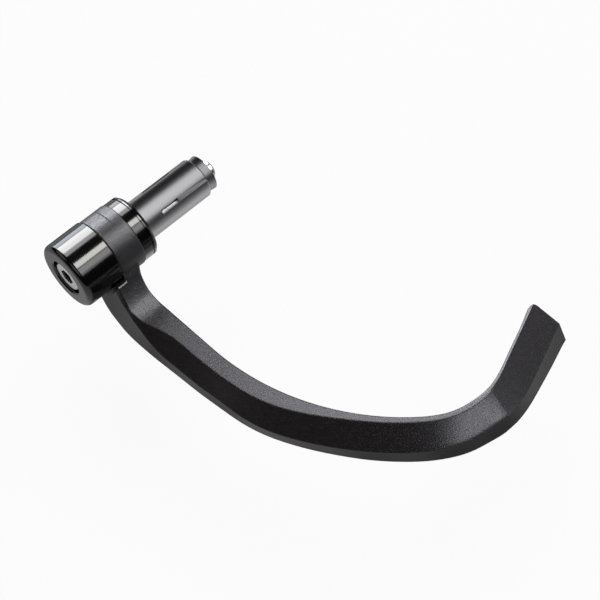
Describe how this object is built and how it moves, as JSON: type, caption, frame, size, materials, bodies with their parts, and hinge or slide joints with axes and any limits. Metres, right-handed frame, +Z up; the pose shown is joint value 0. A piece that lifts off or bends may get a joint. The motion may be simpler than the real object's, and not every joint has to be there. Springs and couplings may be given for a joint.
{
  "type": "brake lever guard",
  "caption": "Hooked nylon lever guard for a motorbike, dropping from a clamp ring under a bar-end cap and sweeping inboard, held by an expander in the handlebar.",
  "frame": {"origin": "on the handlebar's axis, in the plane where the collar seats on the end of the bar", "axes": "+X outboard along the bar, +Y forward, the way the arm reaches, +Z up, square to the arm's flat top"},
  "size_m": [0.1329, 0.1658, 0.0441],
  "materials": {
    "moulding": "black glass-filled nylon, satin, fine grain",
    "cap": "gloss black anodised",
    "collar": "gloss black anodised",
    "bolt": "bright zinc",
    "sleeve": "plain machined",
    "wedge": "plain turned"
  },
  "bodies": {
    "root": {"guard_arm": "moulding", "end_cap": "cap", "spacer_collar": "collar", "clamp_bolt": "bolt", "expander_sleeve": "sleeve", "wedge_nut": "wedge"}
  },
  "joints": []
}
